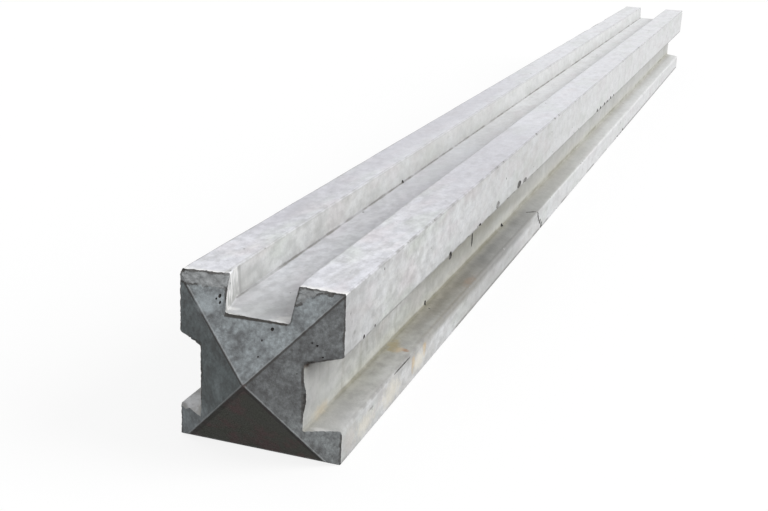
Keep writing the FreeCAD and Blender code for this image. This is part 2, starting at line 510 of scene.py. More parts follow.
def nearest_line(nodes, lines, y, z):
    """Distance across the section to the nearest of some lines along the post."""
    nearest = 1.0
    for across, line_across, line_rise in lines:
        inputs = {"Vector": nodes.joined(across, y, z), "Across": line_across, "Rise": line_rise}
        nearest = nodes.least(nearest, use(nodes, "line_distance", inputs))
    return nearest


def lay_stains(nodes, colour, place, stains):
    """Lay a list of stains over a colour."""
    for middle, reach, stain, share in stains:
        inputs = {"Vector": place, "Centre": Vector(middle) * MM, "Reach": Vector(reach) * MM}
        mask = use(nodes, "stain", inputs)
        colour = nodes.lay(colour, stain, mask, share)
    return colour


def lay_mottle(nodes, colour, drawn, strength):
    """Mottle the paste: lime bloom, grey dabs, and faint casts of green and rose."""
    beside = nodes.vector("ADD", drawn, (0.3, 0.2, 0.1))
    further = nodes.vector("ADD", drawn, (0.7, 0.5, 0.4))
    bloom = nodes.ramp(nodes.noise(drawn, 19 * MM, 4.0, 0.55), 0.5, 0.68, 0.0, 0.5)
    dabs = nodes.ramp(nodes.noise(beside, 11 * MM, 3.0, 0.55), 0.5, 0.72, 0.0, 0.45)
    green = nodes.ramp(nodes.noise(beside, 27 * MM, 2.0), 0.5, 0.7, 0.0, 0.45)
    rose = nodes.ramp(nodes.noise(further, 22 * MM, 2.0), 0.5, 0.7, 0.0, 0.45)
    casts = [(bloom, LIME_BLOOM), (dabs, MOTTLE_AND_SHADE_GREY), (green, GREEN_CAST), (rose, ROSE_CAST)]
    for share, cast in casts:
        colour = nodes.lay(colour, cast, share, strength)
    return colour


def lay_dapple(nodes, colour, place, strength):
    """Dapple the surface with small soft flecks, lighter and darker in proportion to what they lie on."""
    short = nodes.vector("MULTIPLY", place, (1.0, 0.6, 1.0))
    tone = nodes.ramp(nodes.noise(short, 8 * MM, 3.0, 0.6), 0.34, 0.66, 0.87, 1.08)
    return nodes.mix(strength, colour, tone, "MULTIPLY")


def lay_strokes(nodes, colour, place, upright, on_top):
    """Streak the sides downwards, lay trowel strokes across the top, and speckle everything with sand."""
    down_the_side = nodes.vector("MULTIPLY", place, (0.4, 1.0, 0.3))
    streaks = nodes.ramp(nodes.noise(down_the_side, 10 * MM, 3.0, 0.55), 0.46, 0.74)
    colour = nodes.lay(colour, MOTTLE_AND_SHADE_GREY, streaks, upright, 0.14)
    across = {"Vector": place, "Rotation": (0, 0, 0.9), "Scale": (1.0, 0.2, 1.0)}
    trowelled = nodes.add("ShaderNodeMapping", across)
    strokes = nodes.ramp(nodes.noise(trowelled, 6 * MM, 4.0, 0.6), 0.48, 0.76)
    colour = nodes.lay(colour, LAVENDER_FILM, strokes, on_top, 0.3)

    # A film lies on the left flange, thinning out towards the foot, and on a stretch of the right one
    x, y, _ = nodes.parts(place)
    drift = nodes.times(nodes.noise(place, 70 * MM, 4.0, 0.6), 30 * MM)
    on_left = nodes.ramp(nodes.plus(x, drift), -10 * MM, -34 * MM)
    left_run = nodes.times(nodes.ramp(y, RIM + 0.05, RIM + 0.17), nodes.ramp(y, 0.15, -0.4))
    colour = nodes.lay(colour, LAVENDER_FILM, on_left, left_run, on_top, 0.55)
    on_right = nodes.above(x, 0.0)
    middle, end, full = RIGHT_FLANGE_FILM
    right_run = nodes.ramp(nodes.plus(nodes.off(y, middle), drift), end, full)
    colour = nodes.lay(colour, LAVENDER_FILM, on_right, right_run, on_top, 0.45)
    speckle = use(nodes, "sand_grain", {"Vector": place, "Grain Size": 1.8 * MM}, "Speckle")
    return nodes.lay(colour, MOTTLE_AND_SHADE_GREY, speckle, 0.2)


def lay_head_band(nodes, colour, place, on_top):
    """Finish the band behind the point, and give the faint line along it on the sides.

    The strip of concrete that crept past the slot's former is pitted, with painted shade at its foot,
    by the slot's root, and in the crease behind it.
    """
    x, y, z = nodes.parts(place)
    ragged = nodes.times(nodes.noise(place, 8 * MM), 10 * MM)
    by_rim = nodes.ramp(nodes.plus(y, ragged), RIM + 14 * MM, RIM + 6 * MM)
    colour = nodes.lay(colour, RIM_WHITE, by_rim, on_top, 0.8)

    in_slot = nodes.below(z, HEIGHT - 0.8 * MM)
    above_bed = nodes.above(z, TOP_SLOT_BED + 1 * MM)
    on_strip = nodes.times(in_slot, above_bed, nodes.below(nodes.off(x, -22 * MM), 14 * MM))
    in_band = nodes.times(on_strip, nodes.below(y, BAND_END + 3 * MM))
    # Painted shade at the strip's foot, by the slot's root
    foot = nodes.ramp(nodes.plus(z, ragged), TOP_SLOT_BED + 19 * MM, TOP_SLOT_BED + 9 * MM, 0.0, 0.75)
    colour = nodes.lay(colour, TOP_FILM_AND_SHADE, in_band, foot)
    down = nodes.vector("MULTIPLY", place, (1.0, 1.0, 0.25))
    streaks = nodes.ramp(nodes.noise(down, 3.5 * MM, 3.0), 0.46, 0.6, 0.0, 0.75)
    colour = nodes.lay(colour, RIM_WHITE, in_band, streaks)
    dots = use(nodes, "pinholes", {"Vector": place, "Spacing": 4.5 * MM, "Share": 0.75})
    colour = nodes.lay(colour, EDGE_GRIME_AND_SHADE, in_band, dots, 0.85)
    # Painted shade in the crease behind the strip
    crease = nodes.ramp(nodes.off(y, BAND_END + 6 * MM), 3 * MM, 0.8 * MM, 0.0, 0.6)
    colour = nodes.lay(colour, EDGE_GRIME_AND_SHADE, on_strip, crease)

    dulled = nodes.ramp(y, RIM + 65 * MM, RIM + 10 * MM, 0.0, 0.32)
    colour = nodes.lay(colour, MOTTLE_AND_SHADE_GREY, dulled, nodes.rest(on_top))
    beside_top_slot = nodes.above(nodes.math("ABSOLUTE", x), SLOT_BED - 2 * MM)
    shaded = nodes.ramp(y, RIM + 90 * MM, RIM + 20 * MM, 0.0, 0.16)
    colour = nodes.lay(colour, MOTTLE_AND_SHADE_GREY, shaded, beside_top_slot, nodes.rest(on_top))
    on_side = nodes.above(nodes.math("ABSOLUTE", x), HALF_WIDTH - 1 * MM)
    by_line = nodes.ramp(nodes.off(y, RIM + 10 * MM), 1.2 * MM, 0.4 * MM)
    line = nodes.times(by_line, on_side, nodes.ramp(nodes.noise(place, 9 * MM), 0.4, 0.6))
    return nodes.lay(colour, MOTTLE_AND_SHADE_GREY, line, 0.3), line


def lay_slot_dirt(nodes, colour, place):
    """Dull the slots: a film on their walls and beds, thickest on the ledges, painted shade under the side
    slots' flanges, and dirt along their roots.
    """
    x, y, z = nodes.parts(place)
    outer = nodes.math("ABSOLUTE", x)
    drift = nodes.ramp(nodes.noise(place, 60 * MM, 3.0), 0.3, 0.7, 0.74, 1.05)
    damp = along(nodes, y, DAMP)
    right = nodes.ramp(x, -1 * MM, 1 * MM, 0.08, 1.0)
    on_ledge = nodes.ramp(z, BED_LOW + 2 * MM, BED_LOW + 0.6 * MM)

    behind_face = nodes.ramp(outer, HALF_WIDTH - 0.4 * MM, HALF_WIDTH - 1.6 * MM)
    before_bed = nodes.above(outer, SLOT_BED - 2 * MM)
    beside_slot = nodes.below(nodes.off(z, SIDE_SLOT_RISE), 31 * MM)
    in_side_slot = nodes.times(behind_face, before_bed, beside_slot)
    below_face = nodes.ramp(z, HEIGHT - 0.4 * MM, HEIGHT - 1.6 * MM)
    above_bed = nodes.above(z, TOP_SLOT_BED - 2 * MM)
    between_walls = nodes.below(nodes.off(x, TOP_SLOT_MIDDLE), SLOT_MOUTH / 2 + 1 * MM)
    in_top_slot = nodes.times(below_face, above_bed, between_walls)

    colour = lay_bed_film(nodes, colour, place, in_side_slot, drift, damp, right)
    colour = lay_ledge_film(nodes, colour, place, in_side_slot, on_ledge, drift, damp, right)
    colour = lay_top_slot_film(nodes, colour, place, in_top_slot, drift)
    return lay_root_dirt(nodes, colour, place, on_ledge, in_top_slot)


def lay_bed_film(nodes, colour, place, in_slot, drift, damp, right):
    """Dull the side slots' beds upwards, to painted shade under the flange that rises towards the head."""
    x, y, z = nodes.parts(place)
    outer = nodes.math("ABSOLUTE", x)
    tilted = nodes.plus(z, nodes.times(nodes.minus(y, BAND_LEVEL_AT), BAND_TILT))
    darkest = along(nodes, y, DARKEST_BED)
    low_share = nodes.ramp(darkest, 0.0, 1.0, nodes.ramp(y, -0.8, -0.5, 0.5, 0.1), 0.74)
    high_share = nodes.ramp(darkest, 0.0, 1.0, 0.58, 1.1)
    # The film darkens up the bed into painted shade under the flange
    up_the_bed = nodes.ramp(tilted, 34 * MM, 50 * MM, low_share, high_share)
    inwards = nodes.ramp(outer, HALF_WIDTH - 1 * MM, SLOT_BED + 10 * MM, 0.55, 1.0)
    colour = nodes.lay(colour, BED_FILM_AND_SHADE, in_slot, drift, up_the_bed, inwards, right)
    on_bed = nodes.below(outer, SLOT_BED + 2.5 * MM)
    # Painted shade right under the flange
    shade_under_flange = nodes.ramp(tilted, 45 * MM, 54 * MM, 0.0, 0.5)
    colour = nodes.lay(colour, BED_DIRT_AND_SHADE, in_slot, on_bed, shade_under_flange, damp, right)
    drips = nodes.noise(nodes.vector("MULTIPLY", place, (0.3, 1.0, 0.2)), 13 * MM, 4.0, 0.6)
    at_head = nodes.ramp(y, RIM + 0.32, RIM + 0.1, 0.2, 1.0)
    return nodes.lay(colour, BED_DIRT_AND_SHADE, in_slot, on_bed, at_head, nodes.ramp(drips, 0.5, 0.72, 0.0, 0.45))


def lay_ledge_film(nodes, colour, place, in_slot, on_ledge, drift, damp, right):
    """Dirty the ledges, darkest at the root and brownest near the head, and spill the film over the edge."""
    x, y, z = nodes.parts(place)
    outer = nodes.math("ABSOLUTE", x)
    outer_share = nodes.ramp(damp, 0.0, 1.0, 0.26, 0.44)
    root_share = nodes.ramp(y, -0.75, -0.15, 0.8, 0.38)
    towards_root = nodes.ramp(outer, HALF_WIDTH - 1 * MM, SLOT_BED + 6 * MM, outer_share, root_share)
    dirt = nodes.mix(nodes.ramp(y, -0.72, -0.58), LEDGE_BROWN, LEDGE_GREY)
    film = nodes.mix(damp, LEDGE_FILM, dirt)
    thicker = nodes.ramp(damp, 0.0, 1.0, 1.0, 1.6)
    thinning = nodes.ramp(y, -0.35, 0.15, 1.0, 0.22)
    colour = nodes.lay(colour, film, in_slot, on_ledge, towards_root, drift, thicker, right, thinning)
    run_on = along(nodes, y, LEDGE_RUN_ON, 0.0, 0.36)
    colour = nodes.lay(colour, film, in_slot, on_ledge, run_on, right)
    by_edge = nodes.ramp(nodes.off(outer, HALF_WIDTH - 4 * MM), 5 * MM, 1.5 * MM, 0.0, 0.15)
    colour = nodes.lay(colour, film, in_slot, on_ledge, by_edge, drift, right, thinning)
    far = nodes.ramp(y, -0.05, 0.15)
    washed = nodes.times(far, nodes.ramp(outer, SLOT_BED + 5 * MM, SLOT_BED + 12 * MM))
    colour = nodes.lay(colour, LIME_BLOOM, in_slot, on_ledge, washed, 0.3)
    below_edge = nodes.below(z, BED_LOW)
    past_edge = nodes.ramp(outer, HALF_WIDTH - 5 * MM, HALF_WIDTH - 2 * MM)
    run_down = along(nodes, y, SPILL_RUN, 0.0, 0.3)
    spilt = nodes.ramp(z, 16 * MM, 25 * MM, run_down, 0.85)
    return nodes.lay(colour, film, below_edge, past_edge, spilt, along(nodes, y, LEDGE_SPILL), right)


def lay_top_slot_film(nodes, colour, place, in_slot, drift):
    """Tint the top slot's bed, and dull its walls towards their feet and towards the head."""
    x, y, z = nodes.parts(place)
    on_wall = nodes.above(z, TOP_SLOT_BED + 1.5 * MM)
    on_bed = nodes.rest(on_wall)
    tinted = nodes.ramp(y, -0.5, -0.15, 0.4, 0.05)
    colour = nodes.lay(colour, TOP_BED_TINT, in_slot, on_bed, tinted)
    to_right = nodes.ramp(x, -20 * MM, 22 * MM, 0.25, 0.6)
    colour = nodes.lay(colour, LAVENDER_FILM, in_slot, on_bed, along(nodes, y, TOP_BED_FILM), to_right)
    down_the_wall = nodes.ramp(z, HEIGHT, TOP_SLOT_BED, 0.4, 0.75)
    to_head = nodes.ramp(y, RIM + 0.16, RIM + 0.03, 0.65, 0.78)
    return nodes.lay(colour, TOP_FILM_AND_SHADE, in_slot, drift, on_wall, down_the_wall, to_head)


def lay_root_dirt(nodes, colour, place, on_ledge, in_top_slot):
    """Leave dirt along the slots' roots: yellow and olive in the side slots, grey dirt and painted shade in
    the top one.
    """
    x, y, z = nodes.parts(place)
    outer = nodes.math("ABSOLUTE", x)
    patches = nodes.noise(place, 22 * MM, 5.0, 0.65)
    stretches = nodes.noise(place, 55 * MM, 4.0, 0.6)
    low_root = nodes.ramp(y, -0.55, -0.4, BED_LOW, BED_LOW + 2.5 * MM)
    off_root = nearest_line(nodes, [(outer, SLOT_BED, low_root), (outer, SLOT_BED, BED_HIGH)], y, z)
    reached = nodes.plus(off_root, nodes.times(patches, 8 * MM))
    to_foot = nodes.ramp(y, -0.1, 0.2, 1.0, 0.75)
    colour = nodes.lay(colour, ROOT_YELLOW, nodes.ramp(reached, 15 * MM, 6 * MM, 0.0, 0.3), to_foot)
    swept_in = nodes.ramp(reached, 10 * MM, 4 * MM, 0.0, 0.4)
    colour = nodes.lay(colour, ROOT_OLIVE, on_ledge, swept_in, to_foot)
    soft = nodes.ramp(nodes.plus(off_root, nodes.times(patches, 3 * MM)), 5.2 * MM, 1.9 * MM)
    colour = nodes.lay(colour, ROOT_OLIVE, soft, nodes.ramp(stretches, 0.4, 0.62, 0.15, 0.62))

    # Along the top slot's roots, grey dirt with painted shade where the walls shade the bed
    top_roots = [(x, TOP_BED_LEFT, TOP_SLOT_BED), (x, TOP_BED_RIGHT, TOP_SLOT_BED)]
    off_top_root = nodes.plus(nearest_line(nodes, top_roots, y, z), nodes.times(patches, 2 * MM))
    crease = nodes.ramp(off_top_root, 3.0 * MM, 1.5 * MM)
    clean = nodes.times(nodes.ramp(x, 4 * MM, 12 * MM), nodes.ramp(y, BAND_END + 40 * MM, BAND_END))
    broken = nodes.ramp(stretches, 0.36, 0.56, 0.5, 0.95)
    return nodes.lay(colour, ROOT_GREY_AND_SHADE, crease, in_top_slot, nodes.rest(clean), broken)


def lay_edge_grime(nodes, colour, place):
    """Dull the edges in patches, the left outer one most, partly with painted shade against their
    highlights, and darken the drip edges over the side slots with a painted shadow line.
    """
    x, y, z = nodes.parts(place)
    outer = nodes.math("ABSOLUTE", x)
    uneven = nodes.minus(nodes.noise(place, 14 * MM, 5.0, 0.65), 0.5)
    patches = nodes.plus(nodes.times(uneven, nodes.ramp(y, -0.85, -0.35, 1.0, 0.3)), 0.5)

    def beside(lines, end, full):
        """A mask along some lines of the post."""
        return nodes.ramp(nearest_line(nodes, lines, y, z), end, full)

    # Grime and painted shade on the outer top edges, toning down their highlight
    top_edge = beside([(outer, HALF_WIDTH, HEIGHT)], 2.2 * MM, 0.7 * MM)
    left_most = nodes.ramp(x, -1 * MM, 1 * MM, 1.0, 0.8)
    colour = nodes.lay(colour, EDGE_GRIME_AND_SHADE, top_edge, nodes.ramp(patches, 0.4, 0.65, 0.3, 1.0), left_most)
    # Wear and painted shade on the top slot's mouths, toning down their highlight
    handled_and_shaded = beside([(x, TOP_MOUTH_LEFT, HEIGHT), (x, TOP_MOUTH_RIGHT, HEIGHT)], 2.6 * MM, 0.8 * MM)
    colour = nodes.lay(colour, MOTTLE_AND_SHADE_GREY, handled_and_shaded, nodes.ramp(patches, 0.4, 0.65, 0.35, 0.8))
    low_edge = beside([(outer, HALF_WIDTH, MOUTH_LOW)], 3.2 * MM, 1 * MM)
    to_head = nodes.ramp(y, -0.45, -0.3, 1.0, 0.15)
    colour = nodes.lay(colour, EDGE_GRIME_AND_SHADE, low_edge, nodes.ramp(patches, 0.4, 0.6, 0.35, 0.8), to_head)
    back_edge = beside([(outer, HALF_WIDTH, 0.0)], 4.6 * MM, 1.8 * MM)
    smears = nodes.ramp(nodes.noise(place, 90 * MM, 3.0, 0.6), 0.48, 0.6, 0.0, 0.85)
    smears = nodes.most(smears, nodes.ramp(y, 0.1, 0.3, 0.0, 0.9))
    smears = nodes.most(smears, along(nodes, y, BACK_EDGE_DIRT, 0.0, 0.85))
    colour = nodes.lay(colour, EDGE_GRIME_AND_SHADE, back_edge, smears)
    over_drip = nodes.ramp(z, MOUTH_HIGH + 24 * MM, MOUTH_HIGH)
    on_face = nodes.above(outer, HALF_WIDTH - 1 * MM)
    above_slot = nodes.above(z, SIDE_SLOT_RISE)
    shaded = along(nodes, y, OVER_DRIP_EDGE, 0.0, 0.3)
    colour = nodes.lay(colour, MOTTLE_AND_SHADE_GREY, over_drip, on_face, above_slot, shaded)
    # A painted shadow line along the drip edges over the side slots
    drip_edge = beside([(outer, HALF_WIDTH, MOUTH_HIGH)], 2.8 * MM, 0.8 * MM)
    return nodes.lay(colour, EDGE_GRIME_AND_SHADE, drip_edge, nodes.ramp(patches, 0.35, 0.6, 0.3, 0.9))


PLATE_BLUE = grey(0.60, -0.05, 0.008, 0.036)
PLATE_DARK = grey(0.175, -0.006, 0.0, 0.006)
# Painted shade for the facets facing away from the light: the back one darkest, with brown in it, then the
# left and the right ones
BACK_SHADE_TINT = grey(0.235, 0.027, 0.012, -0.034)
BACK_SHADE_BROWN = grey(0.275, 0.105, -0.03, -0.046)
LEFT_SHADE_TINT = grey(0.55, -0.01, 0.012, 0.0)
RIGHT_SHADE_TINT = grey(0.62, 0.024, -0.002, -0.016)
RIGHT_FOOT_SHADE_TINT = grey(0.79, 0.025, 0.0, -0.02)
# Pale wear and painted highlight on the ridges' bead
RIDGE_WEAR_AND_HIGHLIGHT = grey(0.56, -0.01, 0.004, 0.006)
RIM_DARK = grey(0.055, 0.008, 0.002, -0.004)
TIP_BROWN = grey(0.10, 0.03, -0.005, -0.01)
# Painted shadow in the joint under the ridges' bead, below the tip
JOINT_SHADOW = grey(0.016, 0.002, 0.0, -0.002)
SPALL_PALE = grey(0.46, -0.012, 0.004, 0.012)
SPALL_DARK = grey(0.28, -0.008, 0.002, 0.006)

# Stains on the point: blooms, rust at the tip, and dirt at the slots' edges and beside the left ridge; at
# the right slot's upper root, brown dirt and painted shade in a hollow
POINT_STAINS = [
    ((-36, -1038, 110), (18, 10, 13), PLATE_BLUE, 0.75),
    ((-20, -1050, 54), (9, 9, 15), PLATE_BLUE, 0.16),
    ((5.5, -1065, 67), (4, 4, 4), TIP_BROWN, 0.7),
    # Brown dirt and painted shade in the hollow at the right slot's upper root
    ((43, -1037, 79.5), (6, 6, 3.4), RIM_DARK, 0.85),
    ((-38, -1040, 62), (2.6, 9, 18), RIM_DARK, 0.6),
    ((-24, -1048, 84), (9, 7, 11), RIM_DARK, 0.42),
]


# Where the top slot's bed and right wall end at the point, after the slot's lean and rise there
LIP_AT_RIM = TOP_SLOT_BED + 1 * MM
RIGHT_WALL_AT_RIM = 27.5 * MM
SLOT_MIDDLE_AT_LIP = 2.5 * MM
HALF_SLOT_AT_LIP = 23.5 * MM

# How far the spalled strips reach below the rim
LEFT_SPALL = 8.5 * MM
RIGHT_SPALL = 11 * MM
RIM_SPALL = 1.5 * MM


def make_end_face():
    """The point: darker, from the mould's steel end, blotchy, with painted shade on its facets, lined
    ridges, spalls and a rim darkened with painted shade.
    """
    material, nodes, shader, place = new_material("end_face_concrete")
    clouds = use(nodes, "cement_clouds", {
        "Vector": place, "Cloud Size": 15 * MM, "Blotch Size": 4 * MM, "Blotch Share": 0.55})
    colour = nodes.mix(clouds, PLATE_DARK, PLATE_BLUE)
    speckle = use(nodes, "sand_grain", {"Vector": place, "Grain Size": 2.4 * MM}, "Speckle")
    colour = nodes.lay(colour, PLATE_DARK, speckle, 0.4)
    colour, bead = lay_facets(nodes, colour, place)
    colour, spalled = lay_spall(nodes, colour, place)
    colour = lay_rim(nodes, colour, place)
    colour = lay_stains(nodes, colour, place, POINT_STAINS)
    holes = use(nodes, "pinholes", {"Vector": place, "Spacing": 7 * MM, "Share": 0.35})
    # Pinholes filled with painted shade
    colour = nodes.lay(colour, HOLE_SHADE, holes, 0.8)

    grain = use(nodes, "sand_grain", {"Vector": place, "Grain Size": 1.6 * MM}, "Height")
    height = nodes.times(grain, nodes.ramp(spalled, 0.0, 1.0, 1.0, 1.5))
    height = nodes.minus(height, nodes.times(holes, 2.0))
    height = nodes.plus(height, nodes.times(bead, 0.6))
    roughness = nodes.ramp(clouds, 0.0, 1.0, 0.62, 0.8)
    finish_material(nodes, shader, colour, roughness, height, 0.3 * MM)
    return material


def lay_facets(nodes, colour, place):
    """Darken the facets with painted shade by how they face, the back one most, line the ridges between them
    with a painted highlight and shadow, and give the bead that stands on the ridges.

    Each facet gives a step back from the tip, and the facet with the longest step is the one at the place.
    """
    x, _, z = nodes.parts(place)
    beside = nodes.minus(x, POINT_SHIFT)
    above = nodes.minus(z, POINT_RISE)
    right_step = nodes.over(beside, FACET_RIGHT)
    left_step = nodes.over(beside, -FACET_LEFT)
    top_step = nodes.over(above, FACET_UP)
    back_step = nodes.over(above, -FACET_DOWN)
    side_step = nodes.most(right_step, left_step)
    lead = nodes.minus(nodes.most(top_step, back_step), side_step)

    on_upright = nodes.ramp(lead, -0.3 * MM, 0.3 * MM)
    on_side = nodes.rest(on_upright)
    below_tip = nodes.below(above, 0.0)
    left = nodes.below(beside, 0.0)
    right = nodes.rest(left)
    rusty = nodes.ramp(nodes.noise(place, 16 * MM, 4.0, 0.6), 0.45, 0.65)
    # Painted shade on the back facet, which faces down; the bevel gets two thirds of it, painted lighter
    # though it faces further down
    back_shade = nodes.mix(rusty, BACK_SHADE_TINT, BACK_SHADE_BROWN)
    off_bevel = nodes.ramp(z, BACK_BEVEL - 0.6 * MM, BACK_BEVEL + 0.4 * MM, 0.66, 1.0)
    colour = nodes.mix(nodes.times(on_upright, below_tip, off_bevel), colour, back_shade, "MULTIPLY")
    # Painted shade on the left facet, less of it low down and high up
    off_left_foot = nodes.ramp(z, 24 * MM, 40 * MM, 0.3, 1.0)
    off_left_head = nodes.ramp(z, 84 * MM, 108 * MM, 1.0, 0.74)
    left_shade = nodes.times(on_side, left, off_left_foot, off_left_head)
    colour = nodes.mix(left_shade, colour, LEFT_SHADE_TINT, "MULTIPLY")
    # Painted shade on the right facet, less of it low down and high up
    right_shade = nodes.mix(nodes.ramp(z, 20 * MM, 45 * MM), RIGHT_FOOT_SHADE_TINT, RIGHT_SHADE_TINT)
    off_right_head = nodes.ramp(z, 70 * MM, 100 * MM, 1.0, 0.9)
    colour = nodes.mix(nodes.times(on_side, right, off_right_head), colour, right_shade, "MULTIPLY")

    # A pale bead on the upper side of each ridge, worn pale and painted with a highlight, and a dark joint
    # under it, a painted shadow
    upper_side = nodes.times(lead, nodes.math("SIGN", above))
    worn = nodes.times(nodes.noise(place, 9 * MM, 3.0), 0.9 * MM)
    bead = nodes.ramp(nodes.plus(nodes.off(upper_side, 0.5 * MM), worn), 1.0 * MM, 0.5 * MM)
    wider = nodes.ramp(above, -1 * MM, 1 * MM, 1.7, 1.0)
    off_joint = nodes.plus(nodes.off(nodes.over(upper_side, wider), -0.7 * MM), worn)
    joint = nodes.ramp(off_joint, 1.5 * MM, 0.8 * MM)
    colour = nodes.lay(colour, RIDGE_WEAR_AND_HIGHLIGHT, bead, 0.4)
    joint_colour = nodes.mix(below_tip, RIM_DARK, JOINT_SHADOW)
    return nodes.lay(colour, joint_colour, joint, 0.75), bead


def lay_spall(nodes, colour, place):
    """Show the broken concrete of the spalled strips, with a dark line along their lower edges, a crack with
    painted shade.
    """
    past = spall_edge(nodes, place)
    spalled = nodes.ramp(past, 0.0, 0.8 * MM)
    crumbs = use(nodes, "cement_clouds", {
        "Vector": place, "Cloud Size": 6 * MM, "Blotch Size": 2.4 * MM, "Blotch Share": 0.6})
    colour = nodes.mix(spalled, colour, nodes.mix(crumbs, SPALL_DARK, SPALL_PALE))
    # A dark line along the strips' lower edges: a crack, darkened with painted shade
    crack = nodes.ramp(nodes.off(past, 0.2 * MM), 1.3 * MM, 0.4 * MM, 0.0, 0.8)
    broken = nodes.ramp(nodes.noise(place, 6 * MM, 3.0), 0.35, 0.55)
    return nodes.lay(colour, RIM_DARK, crack, broken), spalled


def lay_rim(nodes, colour, place):
    """Darken the ragged rim with painted shade, though not over the ledges, and most of all under the lip of
    the top slot.
    """
    x, _, z = nodes.parts(place)
    ragged = nodes.minus(nodes.noise(place, 5 * MM, 4.0, 0.65), 0.5)
    inside = nodes.plus(depth_inside_outline(nodes, x, z), nodes.times(ragged, 2.6 * MM))
    off_ledge = nodes.ramp(nodes.off(z, BED_LOW), 4 * MM, 7 * MM)
    patches = nodes.ramp(nodes.noise(place, 13 * MM, 3.0), 0.35, 0.6, 0.35, 0.85)
    # Painted shade under the rim's ragged edge
    fringe = nodes.ramp(inside, 1.7 * MM, 0.7 * MM)
    colour = nodes.lay(colour, RIM_DARK, fringe, off_ledge, patches)

    # Painted shade under the lip of the top slot
    below_lip = nodes.minus(LIP_AT_RIM, z)
    in_slot = nodes.below(nodes.off(x, SLOT_MIDDLE_AT_LIP), HALF_SLOT_AT_LIP)
    thicker = nodes.ramp(x, 24 * MM, -24 * MM, 0.5, 1.0)
    drop = nodes.plus(nodes.off(below_lip, 0.6 * MM), nodes.times(ragged, 0.8 * MM))
    shade = nodes.ramp(nodes.over(drop, thicker), 1.9 * MM, 1.0 * MM, 0.0, 0.9)
    return nodes.lay(colour, RIM_DARK, shade, in_slot)


def depth_inside_outline(nodes, x, z):
    """How deep a place on the point lies inside the section's outline."""
    outer = nodes.math("ABSOLUTE", x)
    depth = nodes.least(nodes.minus(HALF_WIDTH, outer), nodes.minus(HEIGHT, z))
    into_side = nodes.minus(SLOT_BED, outer)
    off_side = nodes.minus(nodes.off(z, SIDE_SLOT_RISE), (SLOT_FLOOR + SLOT_MOUTH) / 4)
    depth = nodes.least(depth, nodes.most(into_side, off_side))
    fill_at_rim = HEAD_FILL * (BAND_END - RIM) / (BAND_END - TIP)
    fill_slope = HEAD_FILL / FACET_UP / (BAND_END - TIP)
    left_wall = nodes.plus(TOP_MOUTH_LEFT + fill_at_rim, nodes.times(nodes.minus(HEIGHT, z), fill_slope))
    off_left_wall = nodes.minus(left_wall, x)
    off_top = nodes.most(off_left_wall, nodes.minus(x, RIGHT_WALL_AT_RIM))
    into_top = nodes.minus(LIP_AT_RIM, z)
    return nodes.least(depth, nodes.most(into_top, off_top))


def spall_edge(nodes, place):
    """How far a place on the point lies inside the spalled strips under the rim, below 0 outside them."""
    x, _, z = nodes.parts(place)
    right = nodes.ramp(x, 30 * MM, 45 * MM, RIGHT_SPALL, RIM_SPALL, "LINEAR")
    on_left = nodes.below(x, 0.0)
    reach = nodes.blend(on_left, right, LEFT_SPALL)
    ragged = nodes.minus(nodes.noise(nodes.joined(x, 0.0, z), 5 * MM, 4.0, 0.6), 0.5)
    below_rim = nodes.minus(HEIGHT, z)
    return nodes.minus(nodes.plus(reach, nodes.times(ragged, 9 * MM)), below_rim)


BROKEN_PALE = grey(0.42, 0.004, 0.0, -0.006)
BROKEN_DARK = grey(0.15, 0.004, 0.0, -0.006)
NICK_PALE = grey(0.50, 0.002, 0.0, -0.004)
NICK_DARK = grey(0.30, 0.004, 0.0, -0.006)
# Painted shade: the pits' surfaces darkened as if in shadow
PIT_SHADE_PALE = grey(0.20, 0.006, 0.0, -0.008)
PIT_SHADE_DARK = grey(0.08, 0.003, 0.0, -0.004)


def make_broken(name, pale, dark):
    """Broken concrete in chips and pits: coarse, with sand, blotched between a pale and a dark tone.

    The pits get darker tones, which are painted shade.
    """
    material, nodes, shader, place = new_material(name)
    clouds = use(nodes, "cement_clouds", {
        "Vector": place, "Cloud Size": 7 * MM, "Blotch Size": 2.5 * MM, "Blotch Share": 0.6})
    colour = nodes.mix(clouds, dark, pale)
    grain = use(nodes, "sand_grain", {"Vector": place, "Grain Size": 2.2 * MM}, "Height")
    roughness = nodes.ramp(clouds, 0.0, 1.0, 0.95, 0.88)
    finish_material(nodes, shader, colour, roughness, grain, 1.0 * MM)
    return material


# The casting

def section_corners():
    """The section's corners round from the flat back, each with the radius that rounds it."""
    right = [
        (HALF_WIDTH, 0, ARRIS_RADIUS),
        (HALF_WIDTH, MOUTH_LOW, LEDGE_ARRIS),
        (SLOT_BED, BED_LOW, ROOT_RADIUS),
        (SLOT_BED, BED_HIGH, ROOT_RADIUS),
        (HALF_WIDTH, MOUTH_HIGH, ARRIS_RADIUS),
        (HALF_WIDTH, HEIGHT, ARRIS_RADIUS),
    ]
    top = [
        (TOP_MOUTH_RIGHT, HEIGHT, ARRIS_RADIUS),
        (TOP_BED_RIGHT, TOP_SLOT_BED, ROOT_RADIUS),
        (TOP_BED_LEFT, TOP_SLOT_BED, ROOT_RADIUS),
        (TOP_MOUTH_LEFT, HEIGHT, ARRIS_RADIUS),
    ]
    left = [(-across, rise, radius) for across, rise, radius in reversed(right)]
    return right + top + left


